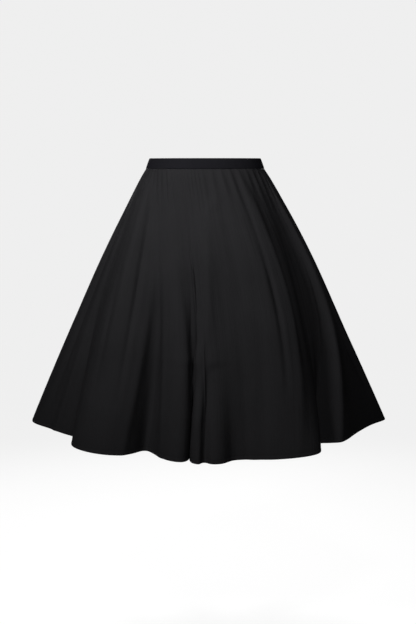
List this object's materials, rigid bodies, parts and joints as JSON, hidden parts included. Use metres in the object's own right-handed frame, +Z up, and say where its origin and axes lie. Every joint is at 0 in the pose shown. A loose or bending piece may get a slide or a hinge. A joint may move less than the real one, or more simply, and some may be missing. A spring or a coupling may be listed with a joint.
{
  "type": "gathered midi skirt",
  "caption": "Full flared midi skirt gathered into a narrow smooth waistband, with soft rolling flutes and a concealed zip at the centre back.",
  "frame": {"origin": "middle of the waist, halfway up the waistband, where the wearer's waist holds the skirt", "axes": "+Z up along the wearer; -Y is the front of the skirt and +Y its back; +X is the wearer's left"},
  "size_m": [0.8385, 0.6305, 0.6445],
  "materials": {
    "cloth": "matt black woven cloth with a soft bloom",
    "band_cloth": "smooth black woven cloth, pressed flat",
    "zip_tape": "black herringbone tape",
    "zip_teeth": "black nylon coil",
    "zip_metal": "black enamel, half gloss"
  },
  "bodies": {
    "skirt": {"skirt_front": "cloth", "skirt_back_left": "cloth", "skirt_back_right": "cloth", "waistband": "band_cloth", "zip_tape_left": "zip_tape", "zip_tape_right": "zip_tape", "zip_chain": "zip_teeth", "zip_slider": "zip_metal"},
    "pull_tab": {"zip_pull_tab": "zip_metal"}
  },
  "joints": [
    {"name": "pull_tab_swing", "type": "hinge", "parent": "skirt", "child": "pull_tab", "pos_m": [0, 0.10055, 0.00417], "axis": [1, 0, 0], "range_deg": [0, 150]}
  ]
}
